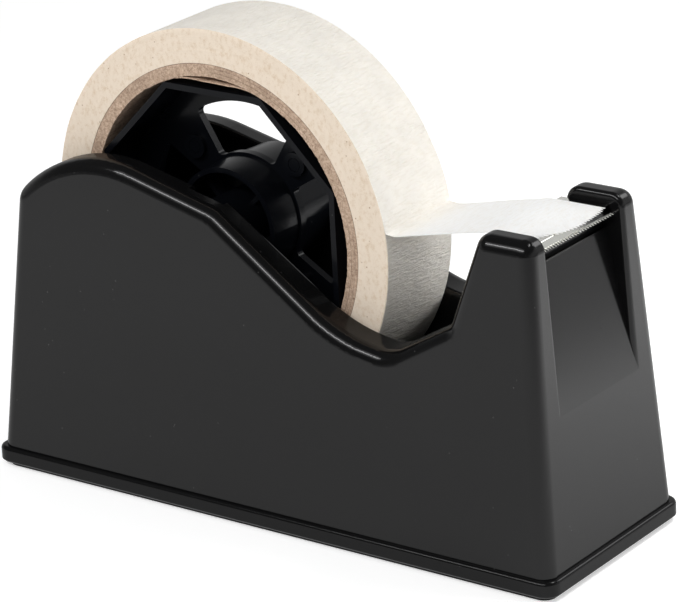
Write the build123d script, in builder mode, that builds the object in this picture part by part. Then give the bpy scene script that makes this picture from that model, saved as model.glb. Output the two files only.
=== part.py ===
from build123d import *
from math import cos, radians, sin, tan
import os

# Desk tape dispenser for one roll on a three-inch core.
# Millimetres. +X points to the cutter, +Z up, origin on the desk under the middle of the base.

# Roll of tape
core_bore = 76.2
core_wall = 3.2
roll_diameter = 99.8
tape_width = 26.6
tape_thickness = 0.25

# Room round the roll
roll_gap = 3.3            # from the roll to the floor and rear of the well
side_gap = 1.8            # from each side of the roll to the well's side
floor_height = 16.8       # lowest line of the well's floor above the desk

# Housing
axle_to_front = 103.2     # from the axle to the front of the base
side_wall = 8.85          # side wall's thickness at the axle's height
rear_wall = 3.3           # rear wall's thickness at the axle's height
skin = 2.5                # moulded wall of the housing's hollow underside
side_draft = 3.4          # degrees
front_draft = 4.1
rear_draft = 6.7
edge_radius = 3.6         # rounding of the outer edges
rim_radius = 1.2          # rounding of the well's inner edges

# Wavy top line of the side walls: corner points from the axle, and the rounding at each
shoulder_rise = 3.2
shoulder_radius = 6.0
crest_back = 38.8
crest_rise = 19.1
crest_radius = 39.0
knee_ahead = 5.4
knee_rise = 8.3
knee_radius = 10.0
slope_ahead = 41.2        # foot of the long slope, where the valley starts
slope_drop = 16.1
slope_radius = 40.0
valley_ahead = 56.3
valley_drop = 18.5
valley_radius = 11.0
foot_ahead = 73.5
foot_drop = 8.4
foot_radius = 3.5

# Cutter end
post_height = 85.0
post_slope = 70.65        # rear of the posts from level, in degrees
post_radius = 3.6
post_edge = 1.2           # rounding of the posts' inner edges
blade_width = 31.8
blade_gap = 0.2           # from the blade to each post
holder_height = 5.7       # blade's top above the bridge between the posts
panel_setback = 4.9       # panel behind the posts' front, at the panel's top
panel_length = 34.4       # from the bridge down to where the panel meets the posts' front

# Well
well_corner = 20.0        # rounding between the floor and the front of the well
well_edge = 1.0           # rounding between the floor and the sides of the well
well_step = 0.5           # well's front behind the rear of the posts
cavity_ceiling = 46.0     # top of the hollow in the side walls
bridge_skin = 3.0

# Blade and its holder
blade_thickness = 0.6
blade_below_post = 2.9
blade_bend_behind = 4.2   # bend line behind the posts' front at the blade's height
blade_depth = 12.5        # flat part, bend line to rear
blade_rake = 45.0         # toothed edge turned down, in degrees
blade_flange = 1.8
tooth_pitch = 1.2
tooth_depth = 0.9
holder_lip = 1.2          # front of the holder behind the panel
holder_rear_lip = 0.8
lead_gap = 0.1            # tape above the blade

# Tape's free end
lead_start_gap = 0.4      # from the roll's side to the free end
lead_drop = 5.6           # where it leaves the roll, below the blade's top
lead_bend_radius = 20.0
lead_past_bend = 0.3

# Reel
axle_radius = 5.0
axle_end_gap = 0.3
seat_depth = 2.6          # axle's seat into each side wall
seat_clearance = 0.1
axle_clearance = 0.05
core_clearance = 0.3      # reel's corners inside the core
winding_gap = 0.05
reel_inset = 0.2          # reel's rim inside the roll's side
reel_wall = 1.5
web_thickness = 1.0
barrel_radius = 15.0      # at the web
barrel_wall = 1.3
barrel_draft = 3.0        # degrees
barrel_near = 10.4        # length from the middle of the reel, each side
barrel_far = 13.0
sleeve_wall = 2.2
sleeve_end_gap = 0.45
window_inner = 15.6
window_outer = 28.5
window_span = 62.0        # degrees
window_radius = 1.4
pin_circle = 21.5         # radius on which the two halves' pins lie
pin_radius = 1.6
pin_clearance = 0.1
boss_radius = 3.0
boss_height = 1.2
rib_thickness = 1.2

# Base
mat_thickness = 1.2
plate_thickness = 4.2
rim_step = 1.3            # base rim outside the housing
base_corner = 4.0
rim_top_edge = 1.0
rim_bottom_edge = 0.6
mat_inset = 2.0
mat_corner = 3.0
tray_depth = 1.8
ridge_height = 2.5
ridge_width = 1.6
ridge_gap = 0.2

# Base screws and their bosses
screw_inset = 5.8         # screw axis inside the housing's outline
screw_boss_radius = 3.4
screw_boss_height = 20.0
base_screw_radius = 1.45
base_screw_head = 2.9
base_screw_length = 13.0
thread_clearance = 0.05
head_flat = 0.3
head_recess = 0.1

# Blade screws
blade_screw_radius = 1.1
blade_screw_head = 2.0
blade_screw_length = 8.0
blade_screw_spacing = 18.0
blade_screw_boss = 2.8

# Ballast
ballast_gap = 0.6
ballast_floor_gap = 0.7

# Places worked out from the sizes above
core_radius = core_bore / 2
roll_radius = roll_diameter / 2
plate_top = mat_thickness + plate_thickness
well_radius = roll_radius + roll_gap
well_half = tape_width / 2 + side_gap
reel_z = floor_height + well_radius
rear_lean = (reel_z - plate_top) * tan(radians(rear_draft))
base_length = axle_to_front + well_radius + rear_wall + rear_lean + rim_step
reel_x = base_length / 2 - axle_to_front
shell_front = base_length / 2 - rim_step
shell_rear = -shell_front
shell_half = well_half + side_wall + (reel_z - plate_top) * tan(radians(side_draft))
base_half = shell_half + rim_step
post_gap_half = blade_width / 2 + blade_gap
blade_top = post_height - blade_below_post
bridge_height = blade_top - holder_height
panel_foot = bridge_height - panel_length
sky = reel_z + roll_radius


def front_x(z):
    """Housing's front face at height z."""
    return shell_front - (z - plate_top) * tan(radians(front_draft))


def rear_x(z):
    """Housing's rear face at height z."""
    return shell_rear + (z - plate_top) * tan(radians(rear_draft))


def side_y(z):
    """Housing's side face at height z."""
    return shell_half - (z - plate_top) * tan(radians(side_draft))


def post_rear_x(z):
    """Rear of the posts, and front of the well, at height z."""
    foot = reel_x + foot_ahead
    return foot + (z - reel_z + foot_drop) / tan(radians(post_slope))


def panel_x(z):
    """Front panel between the posts at height z."""
    top = front_x(bridge_height) - panel_setback
    foot = front_x(panel_foot)
    return foot + (top - foot) * (z - panel_foot) / (bridge_height - panel_foot)


bend_x = front_x(blade_top) - blade_bend_behind
screw_x = shell_front - screw_inset - 3 * skin / 2
screw_y = shell_half - screw_inset
screw_places = [(x, y) for x in (-screw_x, screw_x) for y in (-screw_y, screw_y)]
blade_screw_x = bend_x - blade_depth / 2


def well_outline(grow):
    """Side view of the roll's well, grown outwards by grow."""
    radius = well_radius + grow
    floor = reel_z - radius
    lean = grow / sin(radians(post_slope))
    front_foot = post_rear_x(floor) + lean - well_step
    front_top = post_rear_x(bridge_height) + lean - well_step
    with BuildSketch(Plane.XZ) as outline:
        with BuildLine():
            Line((reel_x - radius, sky), (reel_x - radius, reel_z))
            quarter = radius * cos(radians(45))
            ThreePointArc(
                (reel_x - radius, reel_z),
                (reel_x - quarter, reel_z - quarter),
                (reel_x, floor),
            )
            FilletPolyline(
                (reel_x, floor),
                (front_foot, floor),
                (front_top, bridge_height),
                radius=[well_corner],
            )
            Polyline((front_top, bridge_height), (front_top, sky), (reel_x - radius, sky))
        make_face()
    return outline.sketch


def draft_prism(inset):
    """Cross-section of the housing's drafted sides, moved in by inset, along the whole length."""
    with BuildPart() as prism:
        with BuildSketch(Plane.YZ):
            with BuildLine():
                foot = side_y(0) - inset
                head = side_y(sky) - inset
                Polyline((-foot, 0), (foot, 0), (head, sky), (-head, sky), close=True)
            make_face()
        extrude(amount=base_length, both=True)
    return prism.part


def countersunk_screw(head_radius, shank_radius, length, grow=0.0):
    """Countersunk screw, head at the origin and shank along +Z; grow gives its clearance hole."""
    flat = head_flat + grow
    shank = shank_radius + grow
    head = head_radius + grow
    with BuildPart() as screw:
        with BuildSketch(Plane.XZ):
            with BuildLine():
                Polyline(
                    (0, 0),
                    (head, 0),
                    (head, flat),
                    (shank, flat + head - shank),
                    (shank, length + grow),
                    (0, length + grow),
                    close=True,
                )
            make_face()
        revolve(axis=Axis.Z)
        if grow == 0:
            with BuildSketch():
                Rectangle(head_radius, shank_radius / 3)
                Rectangle(shank_radius / 3, head_radius)
            extrude(amount=shank_radius / 2, mode=Mode.SUBTRACT)
    return screw.part


def well_space():
    """Roll's well as a solid, with rounded lower corners."""
    with BuildPart() as space:
        extrude(well_outline(0), amount=well_half, both=True)
        across = space.faces().sort_by(Axis.Y)
        fillet(across[0].edges() + across[-1].edges(), radius=well_edge)
    return space.part


def housing_cavity():
    """Hollow underside: floor, side pockets and the ballast's room under the cutter."""
    ceiling = bridge_height - bridge_skin
    front_wall = skin / sin(radians(post_slope))
    with BuildPart() as cavity:
        with BuildSketch(Plane.XZ):
            with BuildLine():
                Polyline(
                    (rear_x(0) + skin, 0),
                    (rear_x(cavity_ceiling) + skin, cavity_ceiling),
                    (post_rear_x(cavity_ceiling) + front_wall, cavity_ceiling),
                    (post_rear_x(ceiling) + front_wall, ceiling),
                    (panel_x(ceiling) - skin, ceiling),
                    (front_x(panel_foot) - skin, panel_foot),
                    (front_x(0) - skin, 0),
                    close=True,
                )
            make_face()
        extrude(amount=base_half, both=True)
        add(draft_prism(skin), mode=Mode.INTERSECT)
        extrude(well_outline(skin), amount=well_half + skin, both=True, mode=Mode.SUBTRACT)
        with BuildSketch(Plane.XY):
            with Locations(*screw_places):
                Circle(screw_boss_radius)
        extrude(amount=plate_top + screw_boss_height, mode=Mode.SUBTRACT)
        with BuildSketch(Plane.XY.offset(ceiling - blade_screw_length)):
            with Locations((blade_screw_x, 0)):
                with GridLocations(0, blade_screw_spacing, 1, 2):
                    Circle(blade_screw_boss)
        extrude(amount=blade_screw_length, mode=Mode.SUBTRACT)
    return cavity.part


def make_housing():
    """Moulded housing: drafted sides, wavy rims, roll well, axle seats and cutter posts."""
    with BuildPart() as housing:
        with BuildSketch(Plane.XZ):
            with BuildLine():
                shoulder_z = reel_z + shoulder_rise
                foot_z = reel_z - foot_drop
                outline = FilletPolyline(
                    (shell_rear, plate_top),
                    (rear_x(shoulder_z), shoulder_z),
                    (reel_x - crest_back, reel_z + crest_rise),
                    (reel_x + knee_ahead, reel_z + knee_rise),
                    (reel_x + slope_ahead, reel_z - slope_drop),
                    (reel_x + valley_ahead, reel_z - valley_drop),
                    (post_rear_x(foot_z), foot_z),
                    (post_rear_x(post_height), post_height),
                    (front_x(post_height), post_height),
                    (shell_front, plate_top),
                    radius=[
                        shoulder_radius,
                        crest_radius,
                        knee_radius,
                        slope_radius,
                        valley_radius,
                        foot_radius,
                        post_radius,
                        post_radius,
                    ],
                )
                Line(outline @ 1, outline @ 0)
            make_face()
        extrude(amount=base_half, both=True)
        add(draft_prism(0), mode=Mode.INTERSECT)
        sides = housing.faces().sort_by(Axis.Y)
        rims = sides[0].edges() + sides[-1].edges()
        bottom = rims.group_by(Axis.Z)[0]
        fillet([edge for edge in rims if edge not in bottom], radius=edge_radius)

        # The roll's well
        add(well_space(), mode=Mode.SUBTRACT)
        fillet(housing.edges(Select.NEW), radius=rim_radius)

        # Space between the posts, and the front panel's recess
        reach = 1.2
        foot_x = front_x(panel_foot)
        top_x = panel_x(bridge_height)
        out_x = top_x + reach * (foot_x - top_x)
        out_z = bridge_height - reach * (bridge_height - panel_foot)
        with BuildSketch(Plane.XZ):
            with BuildLine():
                Polyline(
                    (reel_x + valley_ahead, bridge_height),
                    (top_x, bridge_height),
                    (out_x, out_z),
                    (base_length, out_z),
                    (base_length, sky),
                    (reel_x + valley_ahead, sky),
                    close=True,
                )
            make_face()
        extrude(amount=post_gap_half, both=True, mode=Mode.SUBTRACT)
        post_tops = housing.edges(Select.NEW).filter_by(Axis.X).group_by(Axis.Z)[-1]
        fillet(post_tops, radius=post_edge)

        # Axle seats, open at the top so that the reel lifts out
        with BuildSketch(Plane.XZ):
            with Locations((reel_x, reel_z)):
                Circle(axle_radius + seat_clearance)
                with Locations((0, sky / 2)):
                    Rectangle(2 * (axle_radius + seat_clearance), sky)
        extrude(amount=well_half + seat_depth, both=True, mode=Mode.SUBTRACT)

        add(housing_cavity(), mode=Mode.SUBTRACT)

        # Pilot holes for the base screws and the blade's screws
        with BuildSketch(Plane.XY.offset(plate_top)):
            with Locations(*screw_places):
                Circle(base_screw_radius + thread_clearance)
        extrude(amount=base_screw_length, mode=Mode.SUBTRACT)
        with BuildSketch(Plane.XY.offset(bridge_height)):
            with Locations((blade_screw_x, 0)):
                with GridLocations(0, blade_screw_spacing, 1, 2):
                    Circle(blade_screw_radius + thread_clearance)
        extrude(amount=-blade_screw_length, mode=Mode.SUBTRACT)
    housing.part.label = "housing_shell"
    return housing.part


def make_base_plate():
    """Base plate: proud rim, tray for the ballast and a ridge that centres the housing."""
    ridge_top = plate_top + ridge_height
    ridge_front = front_x(ridge_top) - skin - ridge_gap
    ridge_rear = rear_x(ridge_top) + skin + ridge_gap
    ridge_half = side_y(ridge_top) - skin - ridge_gap
    ridge_middle = (ridge_front + ridge_rear) / 2
    tray_length = ridge_front - ridge_rear - 2 * ridge_width
    with BuildPart() as plate:
        with BuildSketch(Plane.XY.offset(mat_thickness)):
            RectangleRounded(base_length, 2 * base_half, base_corner)
        extrude(amount=plate_thickness)
        fillet(plate.faces().sort_by(Axis.Z)[-1].edges(), radius=rim_top_edge)
        chamfer(plate.faces().sort_by(Axis.Z)[0].edges(), length=rim_bottom_edge)
        with BuildSketch(Plane.XY.offset(plate_top)):
            with Locations((ridge_middle, 0)):
                RectangleRounded(ridge_front - ridge_rear, 2 * ridge_half, base_corner / 2)
                Rectangle(tray_length, 2 * (ridge_half - ridge_width), mode=Mode.SUBTRACT)
            with Locations(*screw_places):
                Circle(screw_boss_radius + ridge_gap, mode=Mode.SUBTRACT)
        extrude(amount=ridge_height)
        with BuildSketch(Plane.XY.offset(plate_top)):
            with Locations((ridge_middle, 0)):
                Rectangle(tray_length, 2 * (ridge_half - ridge_width))
            with Locations(*screw_places):
                Circle(screw_boss_radius, mode=Mode.SUBTRACT)
        extrude(amount=-tray_depth, mode=Mode.SUBTRACT)
        hole = countersunk_screw(
            base_screw_head, base_screw_radius, base_screw_length, thread_clearance
        )
        with Locations(*[(x, y, mat_thickness) for x, y in screw_places]):
            add(hole, mode=Mode.SUBTRACT)
    plate.part.label = "base_plate"
    return plate.part


def make_mat():
    """Non-slip mat under the base plate."""
    with BuildPart() as mat:
        with BuildSketch():
            RectangleRounded(
                base_length - 2 * mat_inset, 2 * (base_half - mat_inset), mat_corner
            )
        extrude(amount=mat_thickness)
    mat.part.label = "non_slip_mat"
    return mat.part


def make_base_screws():
    """Four countersunk screws, up through the base plate into the housing's bosses."""
    one = countersunk_screw(base_screw_head, base_screw_radius, base_screw_length - head_recess)
    with BuildPart() as screws:
        with Locations(*[(x, y, mat_thickness + head_recess) for x, y in screw_places]):
            add(one)
    screws.part.label = "base_screws"
    return screws.part


def make_cutter_ballast():
    """Cast block in the hollow under the cutter, shaped to the well's front and the panel."""
    tray = plate_top - tray_depth
    top = bridge_height - bridge_skin - blade_screw_length - ballast_gap
    front_wall = (skin + ballast_gap) / sin(radians(post_slope))
    front_skin = skin + ballast_gap
    foot_in = ridge_width + ridge_gap
    foot_top = plate_top + ridge_height + ballast_gap
    rear_foot = post_rear_x(floor_height) + well_corner
    floor_under = floor_height - skin - ballast_gap
    with BuildPart() as block:
        with BuildSketch(Plane.XZ):
            with BuildLine():
                Polyline(
                    (rear_foot - well_corner / 2, tray),
                    (rear_foot - well_corner / 2, floor_under),
                    (post_rear_x(floor_height + well_corner) + front_wall, floor_height + well_corner),
                    (post_rear_x(top) + front_wall, top),
                    (panel_x(top) - front_skin, top),
                    (front_x(panel_foot) - front_skin, panel_foot),
                    (front_x(foot_top) - front_skin, foot_top),
                    (front_x(foot_top) - front_skin - foot_in, foot_top),
                    (front_x(foot_top) - front_skin - foot_in, tray),
                    close=True,
                )
            make_face()
        extrude(amount=screw_y - screw_boss_radius - ballast_gap, both=True)
    block.part.label = "cutter_ballast"
    return block.part


def make_well_ballast():
    """Steel plate on the tray under the well's floor."""
    tray = plate_top - tray_depth
    rear = -screw_x + screw_boss_radius + ballast_gap
    front = post_rear_x(floor_height) + well_corner / 2 - 2 * ballast_gap
    thickness = floor_height - skin - ballast_floor_gap - tray
    with BuildPart() as slab:
        with BuildSketch(Plane.XY.offset(tray)):
            with Locations(((rear + front) / 2, 0)):
                Rectangle(front - rear, 2 * (screw_y - screw_boss_radius - ballast_gap))
        extrude(amount=thickness)
        fillet(slab.edges().filter_by(Axis.Z), radius=base_corner / 2)
    slab.part.label = "well_ballast"
    return slab.part


def blade_screw_holes():
    """Clearance holes of the blade's two screws, heads level with the blade."""
    hole = countersunk_screw(
        blade_screw_head, blade_screw_radius, blade_screw_length + blade_top, thread_clearance
    )
    places = [(blade_screw_x, side * blade_screw_spacing / 2, blade_top) for side in (-1, 1)]
    with BuildPart() as holes:
        for place in places:
            with Locations(Plane(origin=place, z_dir=(0, 0, -1))):
                add(hole)
    return holes.part


def make_blade_holder():
    """Plastic block between the posts that carries the blade."""
    under = blade_top - blade_thickness
    front = panel_x(bridge_height) - holder_lip
    rear = bend_x - blade_depth - holder_rear_lip
    with BuildPart() as holder:
        with BuildSketch(Plane.XZ):
            with BuildLine():
                Polyline(
                    (rear, bridge_height),
                    (front, bridge_height),
                    (front, under),
                    (rear + holder_rear_lip, under),
                    (rear, under - holder_rear_lip),
                    close=True,
                )
            make_face()
        extrude(amount=blade_width / 2, both=True)
        add(blade_screw_holes(), mode=Mode.SUBTRACT)
    holder.part.label = "blade_holder"
    return holder.part


def make_blade():
    """Serrated steel blade: flat strip whose toothed front edge turns down."""
    rake = radians(blade_rake)
    edge_plane = Plane(
        origin=(bend_x, 0, blade_top), x_dir=(0, 1, 0), z_dir=(sin(rake), 0, cos(rake))
    )
    tooth_count = int((blade_width - tooth_pitch / 2) / tooth_pitch)
    with BuildPart() as blade:
        with BuildSketch(Plane.XY.offset(blade_top)):
            with Locations((bend_x - blade_depth / 2, 0)):
                Rectangle(blade_depth, blade_width)
        extrude(amount=-blade_thickness)
        with BuildSketch(edge_plane):
            with Locations((0, -blade_flange / 2)):
                Rectangle(blade_width, blade_flange)
            with Locations((0, -blade_flange)):
                with GridLocations(tooth_pitch, 0, tooth_count, 1):
                    Polygon(
                        (-tooth_pitch / 2, 0),
                        (0, -tooth_depth),
                        (tooth_pitch / 2, 0),
                        align=None,
                    )
        extrude(amount=-blade_thickness)
        add(blade_screw_holes(), mode=Mode.SUBTRACT)
    blade.part.label = "serrated_blade"
    return blade.part


def make_blade_screws():
    """Two countersunk screws through the blade and its holder."""
    length = blade_screw_length + blade_top - bridge_height - 2 * head_recess
    one = countersunk_screw(blade_screw_head, blade_screw_radius, length)
    height = blade_top - head_recess
    with BuildPart() as screws:
        for side in (-1, 1):
            place = (blade_screw_x, side * blade_screw_spacing / 2, height)
            with Locations(Plane(origin=place, z_dir=(0, 0, -1))):
                add(one)
    screws.part.label = "blade_screws"
    return screws.part


def reel_plane(y):
    """Plane across the reel's axis at y, facing -Y."""
    return Plane(origin=(reel_x, y, reel_z), x_dir=(1, 0, 0), z_dir=(0, -1, 0))


def window_sketch():
    """Four rounded windows in the reel's web, leaving diagonal spokes."""
    with BuildSketch(Plane.XY, mode=Mode.PRIVATE) as one:
        Circle(window_outer)
        Circle(window_inner, mode=Mode.SUBTRACT)
        half = radians(window_span / 2)
        far = 2 * window_outer
        with BuildLine():
            Polyline(
                (0, 0),
                (-far * sin(half), far * cos(half)),
                (far * sin(half), far * cos(half)),
                close=True,
            )
        make_face(mode=Mode.INTERSECT)
        fillet(one.vertices(), radius=window_radius)
    return one.sketch


def make_reel_half(label, side, barrel_length):
    """Half of the reel: octagonal rim, web with windows, barrel and bearing sleeve.

    side is -1 for the near half and 1 for the far half; the halves meet at y = 0.
    """
    corner = core_radius - core_clearance
    rim_depth = tape_width / 2 - reel_inset
    barrel_end = barrel_radius - barrel_length * tan(radians(barrel_draft))
    sleeve_length = well_half - sleeve_end_gap
    bore = axle_radius + axle_clearance
    outward = -side           # extrusions from the middle plane, whose normal is -Y
    middle = reel_plane(0)
    with BuildPart() as half:
        with BuildSketch(middle):
            RegularPolygon(corner, 8, rotation=22.5)
            offset(amount=-reel_wall, kind=Kind.INTERSECTION, mode=Mode.SUBTRACT)
        extrude(amount=outward * rim_depth)
        with BuildSketch(middle):
            RegularPolygon(corner - reel_wall / 2, 8, rotation=22.5)
            with PolarLocations(0, 4):
                add(window_sketch(), mode=Mode.SUBTRACT)
        extrude(amount=outward * web_thickness)

        # Drafted barrel, open at its end
        with BuildSketch(middle):
            Circle(barrel_radius)
        with BuildSketch(reel_plane(side * barrel_length)):
            Circle(barrel_end)
        loft()
        with BuildSketch(reel_plane(side * web_thickness)):
            Circle(barrel_end - barrel_wall)
        extrude(amount=outward * barrel_length, mode=Mode.SUBTRACT)

        # Bearing sleeve, with ribs to the barrel
        with BuildSketch(middle):
            Circle(bore + sleeve_wall)
        extrude(amount=outward * sleeve_length)
        with BuildSketch(middle):
            with PolarLocations(0, 4, start_angle=45):
                with Locations(((bore + barrel_radius) / 2, 0)):
                    Rectangle(barrel_radius - bore - barrel_wall, rib_thickness)
        extrude(amount=outward * barrel_length * 0.6)

        # Pins of one half enter the bosses of the other
        with BuildSketch(middle):
            with PolarLocations(pin_circle, 4, start_angle=45):
                Circle(boss_radius)
        extrude(amount=outward * (web_thickness + boss_height))
        with BuildSketch(middle):
            Circle(bore)
        extrude(amount=outward * sleeve_length, mode=Mode.SUBTRACT)
        with BuildSketch(middle):
            with PolarLocations(pin_circle, 4, start_angle=45):
                if side < 0:
                    Circle(pin_radius + pin_clearance)
                else:
                    Circle(pin_radius)
        if side < 0:
            extrude(amount=outward * (web_thickness + boss_height), mode=Mode.SUBTRACT)
        else:
            extrude(amount=-outward * (web_thickness + boss_height))
    half.part.label = label
    return half.part


def make_axle():
    """Plain axle whose ends rest in the housing's seats."""
    half_length = well_half + seat_depth - axle_end_gap
    with BuildPart() as axle:
        with BuildSketch(reel_plane(0)):
            Circle(axle_radius)
        extrude(amount=half_length, both=True)
        chamfer(axle.edges().filter_by(GeomType.CIRCLE), length=axle_end_gap)
    axle.part.label = "reel_axle"
    return axle.part


def make_ring(label, outer, inner):
    """Ring as wide as the tape, round the reel's axis."""
    with BuildPart() as ring:
        with BuildSketch(reel_plane(0)):
            Circle(outer)
            Circle(inner, mode=Mode.SUBTRACT)
        extrude(amount=tape_width / 2, both=True)
    ring.part.label = label
    return ring.part


def make_tape_lead():
    """Tape's free end, from the roll's side up onto the blade."""
    start_x = reel_x + roll_radius + lead_start_gap
    end_x = bend_x + lead_past_bend
    low = blade_top + lead_gap
    level_x = bend_x - blade_depth - lead_bend_radius / 8
    with BuildPart() as lead:
        with BuildSketch(Plane.XZ):
            with BuildLine():
                FilletPolyline(
                    (start_x, low - lead_drop),
                    (level_x, low),
                    (end_x, low),
                    radius=[lead_bend_radius],
                )
                offset(amount=tape_thickness, side=Side.LEFT)
            make_face()
        extrude(amount=tape_width / 2, both=True)
    lead.part.label = "tape_lead"
    return lead.part


parts = [
    make_housing(),
    make_base_plate(),
    make_mat(),
    make_base_screws(),
    make_cutter_ballast(),
    make_well_ballast(),
    make_blade_holder(),
    make_blade(),
    make_blade_screws(),
    make_reel_half("reel_near_half", -1, barrel_near),
    make_reel_half("reel_far_half", 1, barrel_far),
    make_axle(),
    make_ring("cardboard_core", core_radius + core_wall, core_radius),
    make_ring("tape_winding", roll_radius, core_radius + core_wall + winding_gap),
    make_tape_lead(),
]

os.makedirs("parts", exist_ok=True)
for part in parts:
    export_step(part, f"parts/{part.label}.step")
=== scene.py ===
import math
import random

import bmesh
import bpy
from mathutils import Matrix, Vector, noise


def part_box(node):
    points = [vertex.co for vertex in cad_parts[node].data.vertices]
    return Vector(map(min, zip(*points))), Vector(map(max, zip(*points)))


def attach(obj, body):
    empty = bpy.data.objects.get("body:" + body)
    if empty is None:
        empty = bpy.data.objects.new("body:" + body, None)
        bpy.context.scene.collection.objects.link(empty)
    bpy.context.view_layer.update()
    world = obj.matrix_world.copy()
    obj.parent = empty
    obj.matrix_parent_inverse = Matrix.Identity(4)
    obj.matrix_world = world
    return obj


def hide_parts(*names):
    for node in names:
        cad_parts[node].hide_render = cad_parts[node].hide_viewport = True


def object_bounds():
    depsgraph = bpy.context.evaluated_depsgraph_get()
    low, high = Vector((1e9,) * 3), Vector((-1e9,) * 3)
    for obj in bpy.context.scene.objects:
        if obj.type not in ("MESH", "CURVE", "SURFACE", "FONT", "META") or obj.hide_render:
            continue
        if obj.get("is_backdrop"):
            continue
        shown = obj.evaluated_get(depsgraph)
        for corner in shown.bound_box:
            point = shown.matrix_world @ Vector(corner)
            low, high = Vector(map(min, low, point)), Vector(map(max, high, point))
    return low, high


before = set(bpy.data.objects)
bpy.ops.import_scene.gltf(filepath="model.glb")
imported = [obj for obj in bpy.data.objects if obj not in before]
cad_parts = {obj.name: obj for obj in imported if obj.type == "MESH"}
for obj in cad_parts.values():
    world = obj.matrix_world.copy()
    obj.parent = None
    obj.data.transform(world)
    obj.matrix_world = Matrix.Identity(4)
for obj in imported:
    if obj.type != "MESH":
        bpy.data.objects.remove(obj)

CAD_LOW, CAD_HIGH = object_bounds()

# ---------------------------------------------------------------- camera
VIEW_AZIMUTH = 37.13          # degrees
VIEW_ELEVATION = 20.62
VIEW_ROLL = -3.07
VIEW_DISTANCE = 0.8769        # metres from the point looked at
FOCAL_LENGTH = 191.92         # millimetres
SENSOR_WIDTH = 36.0
LOOK_AT = Vector((0.0062, 0.0, 0.0513))


def add_object(name, data):
    made = bpy.data.objects.new(name, data)
    bpy.context.scene.collection.objects.link(made)
    return made


def make_camera():
    a, e, r = (math.radians(v) for v in (VIEW_AZIMUTH, VIEW_ELEVATION, VIEW_ROLL))
    back = Vector((math.sin(a) * math.cos(e), -math.cos(a) * math.cos(e), math.sin(e)))
    right = Vector((math.cos(a), math.sin(a), 0.0))
    up = back.cross(right)
    right, up = right * math.cos(r) + up * math.sin(r), up * math.cos(r) - right * math.sin(r)
    data = bpy.data.cameras.new("camera")
    data.lens = FOCAL_LENGTH
    data.sensor_width = SENSOR_WIDTH
    data.clip_start = 0.01
    data.clip_end = 100.0
    camera = add_object("camera", data)
    turn = Matrix((right, up, back)).transposed().to_4x4()
    camera.matrix_world = Matrix.Translation(LOOK_AT + back * VIEW_DISTANCE) @ turn
    bpy.context.scene.camera = camera


make_camera()
bpy.context.scene.view_settings.view_transform = "Standard"


# ---------------------------------------------------------------- colours and node helpers
def srgb(*values):
    """8-bit screen colour as linear colour."""
    linear = []
    for v in values:
        c = v / 255.0
        linear.append(c / 12.92 if c <= 0.04045 else ((c + 0.055) / 1.055) ** 2.4)
    return tuple(linear)


def times(colour, *by):
    """Colour times one number, or times one number for each channel."""
    by = by if len(by) == 3 else by * 3
    return tuple(min(1.0, c * b) for c, b in zip(colour, by))


class Tree:
    """A node tree, with short calls for the nodes used here."""

    def __init__(self, tree):
        self.tree = tree
        tree.nodes.clear()
        self.places = self.new("TexCoord").outputs

    def new(self, kind, **settings):
        node = self.tree.nodes.new("ShaderNode" + kind)
        for name, value in settings.items():
            setattr(node, name, value)
        return node

    def fill(self, node, *values, **named):
        """Sets inputs, in their order or by name with _ for a space, to values or other nodes' outputs."""
        pairs = list(zip(node.inputs, values))
        pairs += [(node.inputs[name.replace("_", " ")], value) for name, value in named.items()]
        for socket, value in pairs:
            if isinstance(value, bpy.types.NodeSocket):
                self.tree.links.new(value, socket)
            elif socket.type == "RGBA":
                socket.default_value = (*value, 1.0)
            else:
                socket.default_value = value
        return node

    def mapped(self, where=None, scale=(1, 1, 1), move=(0, 0, 0)):
        node = self.new("Mapping")
        self.fill(node, Vector=where or self.places["Object"], Scale=scale, Location=move)
        return node.outputs["Vector"]

    def noise(self, scale, detail=2.0, rough=0.5, where=None, distortion=0.0):
        node = self.new("TexNoise")
        self.fill(node, Vector=where or self.places["Object"], Scale=scale, Detail=detail,
                  Roughness=rough, Distortion=distortion)
        return node.outputs["Fac"]

    def cells(self, scale):
        node = self.new("TexVoronoi")
        self.fill(node, Vector=self.places["Object"], Scale=scale)
        return node.outputs["Distance"]

    def range(self, value, low, high, to_low, to_high, smooth=False):
        node = self.new("MapRange", interpolation_type="SMOOTHSTEP" if smooth else "LINEAR")
        self.fill(node, Value=value, From_Min=low, From_Max=high, To_Min=to_low, To_Max=to_high)
        return node.outputs["Result"]

    def ramp(self, value, *stops):
        node = self.fill(self.new("ValToRGB"), Fac=value)
        while len(node.color_ramp.elements) < len(stops):
            node.color_ramp.elements.new(0.5)
        for element, (place, colour) in zip(node.color_ramp.elements, stops):
            element.position = place
            element.color = (*colour, 1.0)
        return node.outputs["Color"]

    def mix(self, share, a, b):
        node = self.new("Mix", data_type="RGBA")
        return self.fill(node, Factor=share, A=a, B=b).outputs["Result"]

    def math(self, how, a, b=0.0):
        return self.fill(self.new("Math", operation=how), a, b).outputs["Value"]

    def split(self, where):
        return self.fill(self.new("SeparateXYZ"), Vector=where).outputs

    def bump(self, height, strength, distance, after=None):
        node = self.fill(self.new("Bump"), Height=height, Strength=strength, Distance=distance)
        if after is not None:
            self.fill(node, Normal=after)
        return node.outputs["Normal"]

    def seen(self, paths):
        """1 for camera, glossy and transmission rays, 0 for diffuse ones."""
        mirrored = self.math("MAXIMUM", paths["Is Glossy Ray"], paths["Is Transmission Ray"])
        return self.math("MAXIMUM", paths["Is Camera Ray"], mirrored)


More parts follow.
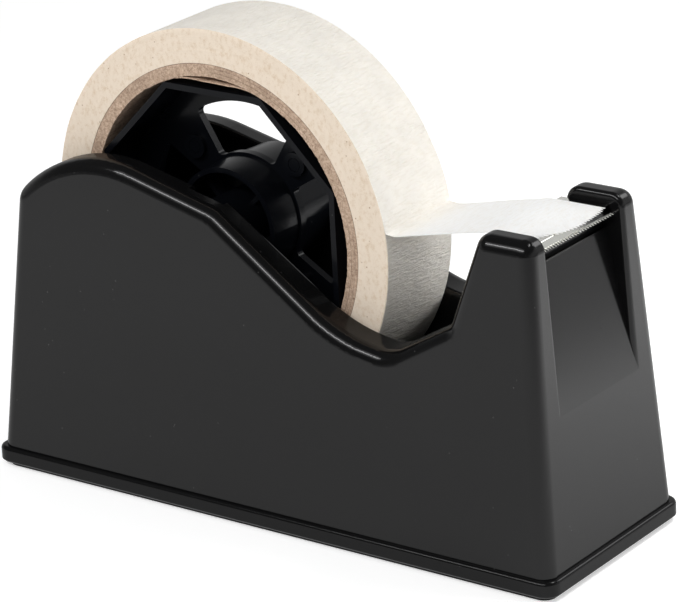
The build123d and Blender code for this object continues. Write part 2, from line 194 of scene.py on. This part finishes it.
class Surface(Tree):
    """A material with one Principled shader."""

    def __init__(self, name):
        self.material = bpy.data.materials.new(name)
        self.material.use_nodes = True
        super().__init__(self.material.node_tree)
        self.out = self.new("OutputMaterial")
        self.shader = self.new("BsdfPrincipled")
        self.fill(self.out, Surface=self.shader.outputs["BSDF"])

    def set(self, **values):
        self.fill(self.shader, **values)


# ---------------------------------------------------------------- sizes of the roll, from the frame
low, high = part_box("tape_winding")
REEL_AXIS = (low + high) / 2
ROLL_RADIUS = (high.x - low.x) / 2
ROLL_HALF = (high.y - low.y) / 2
low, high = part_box("cardboard_core")
ROLL_BORE = (high.x - low.x) / 2
CORE_WALL = 0.0032
PALER = 0.027, 0.042          # x between which the tape's free end turns paler


# ---------------------------------------------------------------- materials
def moulded_black(name, colour, roughness, specular, coat):
    """Glossy moulded plastic: faint orange peel, uneven gloss and a few dust specks."""
    n = Surface(name)
    speck = n.range(n.cells(420), 0.0, 0.07, 1.0, 0.0)
    picked = n.range(n.noise(170, 0), 0.60, 0.64, 0.0, 1.0)
    dust = n.math("MULTIPLY", speck, picked)
    tone = n.mix(n.noise(35, 3, 0.55), times(colour, 0.8), times(colour, 1.25))
    gloss = n.range(n.noise(60, 4, 0.6), 0.3, 0.7, roughness * 0.88, roughness * 1.12)
    wave = n.bump(n.noise(28, 1, 0.4), 0.12, 0.0006)
    n.set(Base_Color=n.mix(dust, tone, (0.16, 0.16, 0.155)),
          Roughness=n.math("ADD", gloss, n.math("MULTIPLY", dust, 0.3)),
          IOR=1.5, Specular_IOR_Level=specular, Coat_Weight=coat, Coat_Roughness=0.14,
          Normal=n.bump(n.noise(900, 2, 0.5), 0.25, 0.00003, wave))
    return n.material


def rubber(name):
    n = Surface(name)
    grain = n.noise(1500, 3, 0.7)
    n.set(Base_Color=n.mix(n.noise(80, 3), (0.006, 0.006, 0.006), (0.014, 0.014, 0.014)),
          Roughness=n.range(grain, 0.3, 0.7, 0.7, 0.9), Specular_IOR_Level=0.3,
          Normal=n.bump(grain, 0.5, 0.0001))
    return n.material


def cast_iron(name):
    n = Surface(name)
    grain = n.noise(700, 5, 0.7)
    n.set(Base_Color=n.ramp(n.noise(90, 4), (0.3, (0.10, 0.10, 0.10)), (0.7, (0.19, 0.18, 0.17))),
          Metallic=0.6, Roughness=n.range(grain, 0.2, 0.8, 0.5, 0.75),
          Normal=n.bump(grain, 0.6, 0.0002))
    return n.material


def polished_steel(name, tone, roughness, dark_reflection_between=None):
    """Ground steel: fine lines along Y, uneven gloss and, if asked for, a painted dark reflection between
    two y.
    """
    n = Surface(name)
    lines = n.noise(1.0, 3, 0.6, n.mapped(scale=(2600, 140, 2600)))
    steel = (tone, tone, tone * 0.94)
    colour = n.mix(n.noise(160, 4, 0.6), (tone * 0.85, tone * 0.85, tone * 0.80), steel)
    if dark_reflection_between:
        # Painted reflection: between the two y the steel's colour goes to near black, in place of a dark
        # reflection
        share = n.range(n.split(n.places["Object"])["Y"], *dark_reflection_between, 0.0, 0.92, smooth=True)
        colour = n.mix(share, colour, (0.02, 0.02, 0.022))
    n.set(Base_Color=colour, Metallic=1.0,
          Roughness=n.range(lines, 0.25, 0.75, roughness * 0.6, roughness * 1.5),
          Normal=n.bump(lines, 0.15, 0.00004))
    return n.material


def from_axis(n):
    """Distance of a point from the reel's axis, in metres."""
    place = n.split(n.mapped(move=(-REEL_AXIS.x, 0, -REEL_AXIS.z)))
    squares = (n.math("MULTIPLY", place[way], place[way]) for way in "XZ")
    return n.math("SQRT", n.math("ADD", *squares))


def crepe_paper(name, colour, depth=1.0, single=None):
    """Masking tape's face: crepe wrinkles across the tape, which follow the UV map in metres, with painted
    shade in their grooves.
    """
    n = Surface(name)
    uv = n.places["UV"]
    wrinkle = n.noise(1.0, 3, 0.55, n.mapped(uv, scale=(1700, 330, 1)), 0.5)
    fibre = n.noise(1.0, 4, 0.65, n.mapped(uv, scale=(900, 900, 1)))
    cloud = n.noise(1.0, 3, 0.5, n.mapped(uv, scale=(120, 120, 1)))
    tone = n.mix(n.range(cloud, 0.3, 0.7, 0.0, 1.0), times(colour, 0.94), times(colour, 1.02))
    if single is not None:
        # Off the roll, one layer of tape is paler than many
        off = n.range(n.split(n.places["Object"])["X"], *PALER, 0.0, 1.0, smooth=True)
        tone = n.mix(off, tone, single)
    # Painted shade: the colour is darker and warmer in the wrinkles' grooves
    painted_groove_shade = times(colour, 0.74, 0.68, 0.58)
    n.set(Base_Color=n.mix(n.range(wrinkle, 0.36, 0.54, 0.16, 0.0), tone, painted_groove_shade),
          Roughness=n.range(fibre, 0.3, 0.7, 0.55, 0.75), Specular_IOR_Level=0.3,
          Normal=n.bump(fibre, 0.25, 0.00005, n.bump(wrinkle, 1.0, 0.0005 * depth)),
          Subsurface_Weight=0.08, Subsurface_Radius=(1.0, 0.9, 0.7), Subsurface_Scale=0.0006)
    return n.material


def tape_edge(name, colour):
    """Side of the roll: edges of many layers, brown stains and flecks caught in the adhesive."""
    n = Surface(name)
    layers = n.fill(n.new("TexNoise", noise_dimensions="1D"), W=from_axis(n), Scale=5200, Detail=3)
    rings = layers.outputs["Fac"]
    mottled = n.noise(1.0, 6, 0.85, n.mapped(scale=(850, 850, 620)))
    stained = times(colour, 0.80, 0.70, 0.57)
    tone = n.ramp(mottled, (0.30, stained), (0.5, colour), (0.8, times(colour, 1.05)))
    tone = n.mix(n.range(rings, 0.3, 0.7, 0.07, 0.0), tone, times(colour, 0.72))
    fleck = n.range(n.cells(620), 0.06, 0.17, 1.0, 0.0, smooth=True)
    picked = n.range(n.noise(300, 1), 0.54, 0.60, 0.0, 1.0)
    flecks = n.math("MULTIPLY", n.math("MULTIPLY", fleck, picked), 0.7)
    ridges = n.bump(rings, 0.12, 0.00006)
    n.set(Base_Color=n.mix(flecks, tone, (0.30, 0.155, 0.06)),
          Roughness=n.range(mottled, 0.3, 0.7, 0.65, 0.85), Specular_IOR_Level=0.25,
          Normal=n.bump(n.noise(1500, 3, 0.7), 0.35, 0.0001, ridges))
    return n.material


def core_board(name):
    """Grey-brown core board: fibres, dark patches, lines between its plies and painted shade along its
    outer edge, where the tape meets it.
    """
    n = Surface(name)
    fibre = n.noise(1.0, 5, 0.8, n.mapped(scale=(1500, 900, 1500)), 0.5)
    coarse = n.noise(330, 4, 0.65)
    tone = n.ramp(fibre, (0.28, srgb(108, 86, 70)), (0.46, srgb(182, 156, 135)),
                  (0.62, srgb(214, 190, 168)), (0.78, srgb(236, 217, 198)))
    tone = n.mix(n.range(coarse, 0.35, 0.65, 0.3, 0.0), tone, srgb(110, 88, 72))
    wander = n.math("MULTIPLY", n.math("SUBTRACT", n.noise(70, 3), 0.5), 0.0003)
    radius = n.math("ADD", from_axis(n), wander)
    # Painted shade: the colour darkens towards the outer edge, where the core meets the tape
    dark = n.range(radius, ROLL_BORE - 0.00025, ROLL_BORE, 0.0, 0.75, smooth=True)
    for share, strength in ((0.30, 0.45), (0.62, 0.6)):
        near = n.math("ABSOLUTE", n.math("SUBTRACT", radius, ROLL_BORE - CORE_WALL * share))
        line = n.range(near, 0.00003, 0.00010, strength, 0.0)
        line = n.math("MULTIPLY", line, n.range(n.noise(45, 2), 0.45, 0.55, 0.0, 1.0))
        dark = n.math("MAXIMUM", dark, line)
    n.set(Base_Color=n.mix(dark, tone, srgb(74, 58, 46)),
          Roughness=n.range(coarse, 0.3, 0.7, 0.75, 0.95), Specular_IOR_Level=0.2,
          Normal=n.bump(fibre, 0.7, 0.0002))
    return n.material


TAPE_TONE = srgb(248, 243, 234)
MATERIALS = {
    "housing": moulded_black("black_gloss_plastic", (0.0040, 0.0040, 0.0042), 0.40, 0.0, 0.54),
    "base": moulded_black("black_base_plastic", (0.0046, 0.0046, 0.0048), 0.24, 0.0, 0.36),
    "reel": moulded_black("black_reel_plastic", (0.0026, 0.0030, 0.0042), 0.30, 0.03, 0.18),
    "holder": moulded_black("black_holder_plastic", (0.0045, 0.0045, 0.0052), 0.30, 0.08, 0.15),
    "mat": rubber("non_slip_rubber"),
    "ballast": cast_iron("cast_ballast"),
    "screws": polished_steel("screw_steel", 0.6, 0.25),
    "blade": polished_steel("blade_steel", 0.62, 0.10),
    # The flange's colour carries a painted dark reflection towards +y
    "blade_flange": polished_steel("blade_flange_steel", 0.64, 0.12, dark_reflection_between=(-0.002, 0.009)),
    "blade_edge": polished_steel("ground_edge_steel", 0.93, 0.28),
    "core": core_board("core_board"),
    "tape_side": tape_edge("tape_layers", srgb(229, 214, 196)),
    "tape_face": crepe_paper("tape_crepe", TAPE_TONE),
    "tape_lead": crepe_paper("tape_lead_crepe", TAPE_TONE, depth=0.6, single=srgb(243, 243, 242)),
}

# CAD nodes whose shape stays, and their finishes
CAD_FINISH = {
    "housing_shell": "housing",
    "base_plate": "base",
    "non_slip_mat": "mat",
    "base_screws": "screws",
    "cutter_ballast": "ballast",
    "well_ballast": "ballast",
    "blade_holder": "holder",
    "blade_screws": "screws",
    "reel_near_half": "reel",
    "reel_far_half": "reel",
    "reel_axle": "reel",
}
for node, finish in CAD_FINISH.items():
    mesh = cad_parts[node].data
    mesh.materials.clear()
    mesh.materials.append(MATERIALS[finish])


# ---------------------------------------------------------------- pieces made here
TOOTH = (0.0, 0.5, 1.0, 0.5)            # one tooth in four steps: tip, flank, root, flank
SHARP_ANGLE = 40                        # degrees, above which an edge isn't smoothed
AT_SIDE = 0.999                         # share of the half width from which a point is on a side face

# Roll of tape
ROLL_STEPS = 360
ROLL_LAYERS = 26                        # rings of the roll's side faces
ROLL_ACROSS = 14
ROLL_TELESCOPE = 0.00008                # how far layers stand out of line
ROLL_IN_LINE = 0.0002                   # depth at the bore over which they don't
ROLL_UNEVEN = 0.00004                   # of the outer face
ROLL_SUNK = 0.00003                     # outer face inside the roll's nominal radius
ROLL_INSET = 0.00008                    # side faces inside the roll's nominal width
ROLL_EDGE_INSET = 0.00018               # the same at the outer edge

# Core
CORE_STEPS = 720
CORE_ACROSS, CORE_LAYERS = 10, 8
CORE_RAGGED = 0.00016                   # of the bore, within CORE_CUT of the sides
CORE_CUT = 0.004
CORE_FUZZ = 0.00006                     # of the side faces
CORE_INSET = 0.0001

# Loose inner ply of the core
PLY_FROM, PLY_TO = 56.0, 121.0          # degrees from +X
PLY_MIDDLE, PLY_HALF = 89.0, 19.0
PLY_DIP = 0.0013
PLY_THICK = 0.0003
PLY_OVERLAP = 0.0001                    # into the core's wall
PLY_INSET = 0.0002
PLY_ALONG, PLY_ACROSS = 110, 12

# Free end of the tape
TAPE_THICK = 0.0002
LEAD_START, LEAD_LEAVE = 24.0, 8.5      # degrees round the roll
LEAD_CLEAR = 0.00017                    # middle of the tape above the roll, where it leaves
LEAD_SUNK = 0.6                         # share of LEAD_CLEAR by which its start is in the roll
LEAD_RISES = 9                          # steps over which it comes out of the roll
LEAD_THICKENS = 6                       # steps over which it gets its full thickness
LEAD_ON_ROLL = 12                       # steps of each stretch
LEAD_IN_TURN = 8
LEAD_IN_AIR = 24
LEAD_ON_BLADE = 14
FOLD_RADIUS, FOLD_TO = 0.0007, -10.0    # fold at the root, and its heading in degrees at the end
CURL_RADIUS, CURL_TO = 0.006, 11.5      # curl after it
LANDING_BEHIND = 0.0012                 # behind the blade's rear edge
LANDING_SLOPE = 0.17
LEAD_FREE = LEAD_ON_ROLL + LEAD_IN_TURN * 3 // 2    # step from which it waves and hangs: middle of the curl
LEAD_LOOSENS = 6                        # steps until it does so in full
LEAD_SETTLES = 0.006                    # stretch before the landing over which it flattens again
LEAD_WAVE = 0.00022
LEAD_HANG = 0.0002                      # how far its long edges hang
TEETH_ACROSS = 24
TEAR_DEPTH = 0.0013
TEAR_UNEVEN = 0.15                      # share of TEAR_DEPTH
TEAR_TOP = 0.001                        # y where the torn edge stands out most
TEAR_PAST = 0.0009                      # past the blade's teeth there
TEAR_BOW_NEAR, TEAR_BOW_FAR = 27.0, 10.5        # per metre, to either side of it

# Blade
BLADE_THICK = 0.0005
BLADE_REACH = 0.00185                   # from the bend to the blade's front
BLADE_TEETH = 30
BLADE_TOOTH = 0.0009
BLADE_GROUND = 0.75                     # share of the thickness that is ground off at the tips
FLAT_STEPS = 12
BEND_MIDDLE = Vector((0.00022, -0.00003))       # x and z from the bend
BEND_END = Vector((0.0004, -0.0002))
FLANGE_END = Vector((0.00115, -0.00172))
FLANGE_STEPS = 0.15, 0.4, 0.7, 0.95
LIP_BACK = Vector((-0.00016, -0.00010))         # from the flange's end to the lip
LIP_RUN = Vector((0.00082, -0.00030))
LIP_STEPS = 0.0, 0.34, 0.67, 1.0
SINK_CLEAR = 0.0001                     # countersinks wider than the screws' heads
SINK_BELOW, SINK_ABOVE = 0.0020, 0.0004         # reach of their cones from the screws' tops
SINK_NARROW, SINK_WIDE = 0.35, 1.22     # radii of the cones' ends, as shares of the heads'
SINK_STEPS = 48

# Bead on the front panel's top edge
BEAD_AHEAD, BEAD_RADIUS = 0.00108, 0.00028
BEAD_END, BEAD_SWELL = 0.4, 12.0        # share of its radius at the ends, and how fast it grows from there
BEAD_ACROSS, BEAD_AROUND = 40, 12


def new_piece(name, verts, faces, finishes, body, node=None, corners=None, kinds=None):
    """Mesh object with a UV map in metres, which rides on a body and may stand for a CAD node."""
    mesh = bpy.data.meshes.new(name)
    mesh.from_pydata(verts, [], faces)
    if corners is None:
        corners = [verts[v][:2] for face in faces for v in face]
    layer = mesh.uv_layers.new(name="metres")
    layer.data.foreach_set("uv", [value for corner in corners for value in corner])
    for finish in finishes:
        mesh.materials.append(MATERIALS[finish])
    if kinds:
        mesh.polygons.foreach_set("material_index", kinds)
    mesh.polygons.foreach_set("use_smooth", [True] * len(faces))
    bm = bmesh.new()
    bm.from_mesh(mesh)
    bmesh.ops.recalc_face_normals(bm, faces=bm.faces)
    bm.to_mesh(mesh)
    bm.free()
    mesh.set_sharp_from_angle(angle=math.radians(SHARP_ANGLE))
    piece = add_object(name, mesh)
    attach(piece, body)
    if node:
        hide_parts(node)
    return piece


def about_axis(radius, angle, y):
    x, z = radius * math.cos(angle), radius * math.sin(angle)
    return REEL_AXIS.x + x, REEL_AXIS.y + y, REEL_AXIS.z + z


def side_of(y):
    """-1 or 1 on the near or far side face of the roll and core, 0 between them."""
    return math.copysign(1.0, y) if abs(y) > ROLL_HALF * AT_SIDE else 0.0


def swirl(angle, size, height):
    """Smooth noise that closes on itself round the axis."""
    return noise.noise(Vector((math.cos(angle) * size, math.sin(angle) * size, height)))


def steps_between(a, b, count):
    return [a + (b - a) * i / count for i in range(count)]


def ring_section(inner, outer, across, layers):
    """(radius, y) section of a ring: near side out, outer face back, far side in, inner face forward."""
    half = ROLL_HALF
    section = [(r, -half) for r in steps_between(inner, outer, layers)]
    section += [(outer, y) for y in steps_between(-half, half, across)]
    section += [(r, half) for r in steps_between(outer, inner, layers)]
    section += [(inner, y) for y in steps_between(half, -half, across)]
    return section


def revolved(section, steps, shape):
    """Closed section turned round the reel's axis, each point moved by shape()."""
    count = len(section)
    run = [0.0]
    for i in range(count):
        run.append(run[-1] + math.dist(section[i], section[(i + 1) % count]))
    verts, faces, corners = [], [], []
    for k in range(steps):
        angle = 2 * math.pi * k / steps - math.pi / 2
        for r, y in section:
            r, y = shape(angle, r, y)
            verts.append(about_axis(r, angle, y))
    for k in range(steps):
        after = (k + 1) % steps
        u, w = (2 * math.pi * ROLL_RADIUS * step / steps for step in (k, k + 1))
        for i in range(count):
            j = (i + 1) % count
            faces.append((k * count + i, after * count + i, after * count + j, k * count + j))
            corners += [(u, run[i]), (w, run[i]), (w, run[i + 1]), (u, run[i + 1])]
    return verts, faces, corners


def sheet_faces(rows, columns):
    """Faces of a closed sheet: two skins of rows by columns points, one after the other, and its rim."""
    base = rows * columns
    faces = []
    for i in range(rows - 1):
        for j in range(columns - 1):
            a, b = i * columns + j, (i + 1) * columns + j
            faces += [(a, b, b + 1, a + 1), (base + a, base + a + 1, base + b + 1, base + b)]
        for j in (0, columns - 1):
            a, b = i * columns + j, (i + 1) * columns + j
            faces.append((a, base + a, base + b, b))
    for j in range(columns - 1):
        for i in (0, rows - 1):
            a = i * columns + j
            faces.append((a, a + 1, base + a + 1, base + a))
    return faces


def make_roll():
    section = ring_section(ROLL_BORE, ROLL_RADIUS, ROLL_ACROSS, ROLL_LAYERS)

    def shape(angle, r, y):
        side = side_of(y)
        if r >= ROLL_RADIUS:
            r += ROLL_UNEVEN * swirl(angle, 9.0, y * 150) - ROLL_SUNK
            return r, y - side * ROLL_EDGE_INSET
        if r > ROLL_BORE + ROLL_IN_LINE:
            y += side * ROLL_TELESCOPE * swirl(angle, 0.8, r * 1900 + side * 7)
        return r, y - side * ROLL_INSET

    verts, faces, corners = revolved(section, ROLL_STEPS, shape)
    outer = range(ROLL_LAYERS, ROLL_LAYERS + ROLL_ACROSS)
    kinds = [int(i % len(section) in outer) for i in range(len(faces))]
    new_piece("tape_roll", verts, faces, ("tape_side", "tape_face"), "reel",
              node="tape_winding", corners=corners, kinds=kinds)


def make_core():
    inner = ROLL_BORE - CORE_WALL
    section = ring_section(inner, ROLL_BORE, CORE_ACROSS, CORE_LAYERS)

    def shape(angle, r, y):
        cut = 1.0 - min(1.0, (ROLL_HALF - abs(y)) / CORE_CUT)
        lip = 1.0 - min(1.0, (r - inner) / CORE_WALL)
        rag = swirl(angle, 60.0, y * 300) + 0.7 * swirl(angle, 17.0, y * 90 + 5)
        fuzz = swirl(angle, 45.0, r * 3000)
        return r + CORE_RAGGED * rag * cut * lip, y + side_of(y) * (CORE_FUZZ * fuzz - CORE_INSET)

    verts, faces, corners = revolved(section, CORE_STEPS, shape)
    new_piece("core_tube", verts, faces, ("core",), "reel",
              node="cardboard_core", corners=corners)


def make_ply():
    """Inner ply of the core that has come loose at the near end, over one arc."""
    half = ROLL_HALF - PLY_INSET
    bore = ROLL_BORE - CORE_WALL
    verts = []
    for skin in (0, 1):
        for i in range(PLY_ALONG + 1):
            degrees = PLY_FROM + (PLY_TO - PLY_FROM) * i / PLY_ALONG
            bulge = max(0.0, 1 - ((degrees - PLY_MIDDLE) / PLY_HALF) ** 2) ** 2
            angle = math.radians(degrees)
            for j in range(PLY_ACROSS + 1):
                y = -half + 2 * half * j / PLY_ACROSS
                depth = 1 - 0.5 * j / PLY_ACROSS
                rag = CORE_RAGGED * 0.8 * swirl(angle, 50.0, 3.0) * (j == 0)
                dip = PLY_DIP * bulge * depth * (1 + 0.12 * swirl(angle, 12.0, y * 60))
                r = bore + PLY_OVERLAP - dip - skin * PLY_THICK - rag
                verts.append(about_axis(r, angle, y + rag))
    new_piece("core_loose_ply", verts, sheet_faces(PLY_ALONG + 1, PLY_ACROSS + 1), ("core",),
              "reel")


def lead_line():
    """The tape's middle line in the XZ plane, and the x where it lands on the blade and where it ends."""
    line = []
    for i in range(LEAD_ON_ROLL + 1):
        angle = math.radians(LEAD_START + (LEAD_LEAVE - LEAD_START) * i / LEAD_ON_ROLL)
        lift = LEAD_CLEAR * ((1 + LEAD_SUNK) * min(1.0, i / LEAD_RISES) - LEAD_SUNK)
        place = about_axis(ROLL_RADIUS + lift, angle, 0.0)
        line.append((place[0], place[2]))
    heading = math.radians(LEAD_LEAVE - 90)
    for radius, leave in ((FOLD_RADIUS, math.radians(FOLD_TO)), (CURL_RADIUS, math.radians(CURL_TO))):
        x, z = line[-1]
        for i in range(1, LEAD_IN_TURN + 1):
            now = heading + (leave - heading) * i / LEAD_IN_TURN
            line.append((x + radius * (math.sin(now) - math.sin(heading)),
                         z + radius * (math.cos(heading) - math.cos(now))))
        heading = leave
    start = Vector(line[-1])
    blade_low, blade_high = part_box("serrated_blade")
    landing = Vector((blade_low.x - LANDING_BEHIND, blade_high.z + TAPE_THICK * 0.6))
    reach = (landing.x - start.x) / 3
    points = (start, start + Vector((math.cos(heading), math.sin(heading))) * reach,
              landing - Vector((1.0, LANDING_SLOPE)) * reach, landing)
    for i in range(1, LEAD_IN_AIR + 1):
        t = i / LEAD_IN_AIR
        weights = ((1 - t) ** 3, 3 * t * (1 - t) ** 2, 3 * t * t * (1 - t), t ** 3)
        line.append(tuple(sum((p * w for p, w in zip(points, weights)), Vector((0.0, 0.0)))))
    end = blade_high.x
    line += [(landing.x + (end - landing.x) * i / LEAD_ON_BLADE, landing.y)
             for i in range(1, LEAD_ON_BLADE + 1)]
    return line, landing.x, end


def torn_end(y, tooth):
    """How far past the blade's teeth the torn edge stands at y; it is bowed and toothed."""
    bow = TEAR_BOW_NEAR if y < TEAR_TOP else TEAR_BOW_FAR
    return TEAR_PAST - bow * (y - TEAR_TOP) ** 2 - TEAR_DEPTH * tooth


def make_lead():
    chance = random.Random(7)
    line, landing, end = lead_line()
    across = TEETH_ACROSS * len(TOOTH)
    teeth = [TOOTH[j % len(TOOTH)] + chance.uniform(-TEAR_UNEVEN, TEAR_UNEVEN) for j in range(across + 1)]
    length = [0.0]
    for a, b in zip(line, line[1:]):
        length.append(length[-1] + math.dist(a, b))
    verts, places = [], []
    for skin in (0.5, -0.5):
        for i, (x, z) in enumerate(line):
            before, after = Vector(line[max(0, i - 1)]), Vector(line[min(len(line) - 1, i + 1)])
            way = (after - before).normalized()
            thick = TAPE_THICK * min(1.0, 0.1 + i / LEAD_THICKENS)
            free = max(0.0, min(1.0, (i - LEAD_FREE) / LEAD_LOOSENS, (landing - x) / LEAD_SETTLES))
            pull = max(0.0, (x - landing) / (end - landing)) ** 2
            for j in range(across + 1):
                y = -ROLL_HALF + 2 * ROLL_HALF * j / across
                wave = LEAD_WAVE * free * noise.noise(Vector((x * 60, y * 70, 1.5)))
                wave -= LEAD_HANG * free * (y / ROLL_HALF) ** 2
                verts.append((x + pull * torn_end(y, teeth[j]) - way.y * (thick * skin),
                              REEL_AXIS.y + y,
                              z + wave + way.x * (thick * skin)))
                places.append((length[i], 2 * ROLL_HALF * j / across))
    faces = sheet_faces(len(line), across + 1)
    new_piece("tape_strip", verts, faces, ("tape_lead",), "spindle", node="tape_lead",
              corners=[places[v] for face in faces for v in face])


def blade_profile():
    """Outer face of the blade in the XZ plane: flat, bend, steep flange, then the toothed lip."""
    low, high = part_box("serrated_blade")
    bend = Vector((high.x - BLADE_REACH, high.z))
    points = [Vector((low.x + (bend.x - low.x) * i / FLAT_STEPS, high.z)) for i in range(FLAT_STEPS + 1)]
    points += [bend + BEND_MIDDLE, bend + BEND_END]
    points += [bend + BEND_END + (FLANGE_END - BEND_END) * step for step in FLANGE_STEPS]
    points += [bend + FLANGE_END + LIP_BACK + LIP_RUN * step for step in LIP_STEPS]
    return points


def cut_screw_holes(piece):
    """Countersinks for the two screws, cut out of the blade."""
    low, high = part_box("blade_screws")
    radius = (high.x - low.x) / 2 + SINK_CLEAR
    z = high.z + (SINK_ABOVE - SINK_BELOW) / 2
    bm = bmesh.new()
    for y in (low.y + radius, high.y - radius):
        bmesh.ops.create_cone(bm, cap_ends=True, segments=SINK_STEPS, depth=SINK_ABOVE + SINK_BELOW,
                              radius1=radius * SINK_NARROW, radius2=radius * SINK_WIDE,
                              matrix=Matrix.Translation(((low.x + high.x) / 2, y, z)))
    mesh = bpy.data.meshes.new("countersinks")
    bm.to_mesh(mesh)
    bm.free()
    cutter = add_object("countersinks", mesh)
    cut = piece.modifiers.new("holes", "BOOLEAN")
    cut.object = cutter
    cut.solver = "EXACT"
    graph = bpy.context.evaluated_depsgraph_get()
    done = bpy.data.meshes.new_from_object(piece.evaluated_get(graph))
    piece.modifiers.clear()
    piece.data = done
    bpy.data.objects.remove(cutter)


def make_blade():
    low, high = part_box("serrated_blade")
    profile = blade_profile()
    last = len(profile) - 1
    lip_start = len(profile) - len(LIP_STEPS)
    across = BLADE_TEETH * len(TOOTH)
    verts = []
    for skin in (0, 1):
        for i, point in enumerate(profile):
            way = (profile[min(last, i + 1)] - profile[max(0, i - 1)]).normalized()
            inward = Vector((way.y, -way.x))
            lip = max(0, i - lip_start) / (last - lip_start)
            thick = BLADE_THICK * (1.0 - BLADE_GROUND * lip)
            for j in range(across + 1):
                tooth = BLADE_TOOTH * TOOTH[j % len(TOOTH)] * lip
                spot = point - way * tooth + inward * (thick * skin)
                verts.append((spot.x, low.y + (high.y - low.y) * j / across, spot.y))
    row = across + 1
    faces = sheet_faces(last + 1, row)
    turned = {row * i + j for i in range(FLAT_STEPS + 2, lip_start) for j in range(row)}
    ground = {row * i + j for i in range(lip_start, last + 1) for j in range(row)}
    kinds = [2 if ground.issuperset(face) else int(len(turned & set(face)) > 1) for face in faces]
    piece = new_piece("blade_strip", verts, faces, ("blade", "blade_flange", "blade_edge"),
                      "dispenser", node="serrated_blade", kinds=kinds)
    cut_screw_holes(piece)


def make_bead():
    """Fine moulded bead along the top of the front panel, between the posts."""
    low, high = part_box("blade_holder")
    x, z = high.x + BEAD_AHEAD, low.z
    verts, faces = [], []
    for j in range(BEAD_ACROSS + 1):
        share = j / BEAD_ACROSS
        y = low.y + (high.y - low.y) * share
        radius = BEAD_RADIUS * min(1.0, BEAD_END + BEAD_SWELL * min(share, 1 - share))
        for i in range(BEAD_AROUND):
            angle = 2 * math.pi * i / BEAD_AROUND
            verts.append((x + radius * math.cos(angle), y, z + radius * math.sin(angle)))
    for j in range(BEAD_ACROSS):
        for i in range(BEAD_AROUND):
            a, b = j * BEAD_AROUND + i, j * BEAD_AROUND + (i + 1) % BEAD_AROUND
            faces.append((a, b, b + BEAD_AROUND, a + BEAD_AROUND))
    faces += [tuple(j * BEAD_AROUND + i for i in range(BEAD_AROUND)) for j in (0, BEAD_ACROSS)]
    new_piece("panel_bead", verts, faces, ("housing",), "dispenser")


make_roll()
make_core()
make_ply()
make_lead()
make_blade()
make_bead()


# ---------------------------------------------------------------- floor, background and lights
OBJECT_MIDDLE = 0.0, 0.0, 0.05
FLOOR_HALF = 6.0
FLOOR_TONE, FLOOR_FAR = (0.80, 0.80, 0.80), (0.10, 0.10, 0.10)
FLOOR_GLOW = 0.45             # brings the floor to white where it is seen
WORLD_LIGHT = 0.40            # strength of the world as a light; where it is seen, it is 1

# In reflections the floor darkens with its distance from the object, in metres
FADE = 0.28, 0.85
FADE_SHARE = 0.55

# In reflections the room darkens with how far up and forward they look: z less ROOM_TILT times y
ROOM_TILT = 0.45
ROOM = 0.08, 0.46
ROOM_SHARE = 0.85


def make_floor():
    n = Surface("studio_floor")
    paths = n.new("LightPath").outputs
    away = n.fill(n.new("VectorMath", operation="LENGTH"), n.new("NewGeometry").outputs["Position"])
    far = n.range(away.outputs["Value"], *FADE, 0.0, FADE_SHARE, smooth=True)
    far = n.math("MULTIPLY", far, paths["Is Glossy Ray"])
    n.set(Base_Color=n.mix(far, FLOOR_TONE, FLOOR_FAR), Roughness=0.9, Specular_IOR_Level=0.0)
    lit = n.math("MULTIPLY", n.math("SUBTRACT", n.seen(paths), far), FLOOR_GLOW)
    glow = n.fill(n.new("Emission"), Strength=lit)
    both = n.fill(n.new("AddShader"), n.shader.outputs["BSDF"], glow.outputs["Emission"])
    n.fill(n.out, Surface=both.outputs["Shader"])
    mesh = bpy.data.meshes.new("floor")
    bm = bmesh.new()
    bmesh.ops.create_grid(bm, x_segments=8, y_segments=8, size=FLOOR_HALF)
    for v in bm.verts:
        v.co.z = CAD_LOW.z
    bm.to_mesh(mesh)
    bm.free()
    mesh.materials.append(n.material)
    add_object("floor", mesh)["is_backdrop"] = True


def make_world():
    world = bpy.data.worlds.new("studio")
    bpy.context.scene.world = world
    world.use_nodes = True
    n = Tree(world.node_tree)
    paths = n.new("LightPath").outputs
    level = n.range(n.seen(paths), 0.0, 1.0, WORLD_LIGHT, 1.0)
    # Reflections see a pale backdrop behind the object, and a dark room above and before it
    up = n.fill(n.new("VectorMath", operation="DOT_PRODUCT"), n.places["Generated"], (0.0, -ROOM_TILT, 1.0))
    room = n.range(up.outputs["Value"], *ROOM, 0.0, ROOM_SHARE, smooth=True)
    shown = n.math("SUBTRACT", 1.0, n.math("MULTIPLY", room, paths["Is Glossy Ray"]))
    ground = n.fill(n.new("Background"), Strength=n.math("MULTIPLY", shown, level))
    n.fill(n.new("OutputWorld"), Surface=ground.outputs["Background"])


def softbox(name, place, target, width, height, power, spread=180, glossy=True):
    data = bpy.data.lights.new(name, "AREA")
    data.shape = "RECTANGLE"
    data.size = width
    data.size_y = height
    data.energy = power
    data.spread = math.radians(spread)
    lamp = add_object(name, data)
    lamp.location = place
    lamp.visible_glossy = glossy
    lamp.rotation_mode = "QUATERNION"
    lamp.rotation_quaternion = (Vector(target) - Vector(place)).to_track_quat("-Z", "Y")


make_floor()
make_world()
softbox("strip_light", (-0.08, -0.70, 0.74), OBJECT_MIDDLE, 1.05, 0.08, 4.6)
softbox("glow_light", (-0.08, -0.71, 0.75), OBJECT_MIDDLE, 1.05, 0.46, 2.4)
softbox("fill_light", (0.20, -1.00, 0.32), OBJECT_MIDDLE, 0.7, 0.4, 0.6, glossy=False)
softbox("rear_light", (0.40, 0.78, 0.66), OBJECT_MIDDLE, 0.35, 0.35, 1.7)
softbox("side_light", (0.70, 0.72, 0.24), OBJECT_MIDDLE, 0.6, 0.4, 5.0, glossy=False)
# Lights the floor that the cutter's end reflects
softbox("floor_light", (0.27, 0.19, 0.45), (0.24, 0.17, 0.0), 0.22, 0.22, 0.6, spread=60)

low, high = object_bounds()
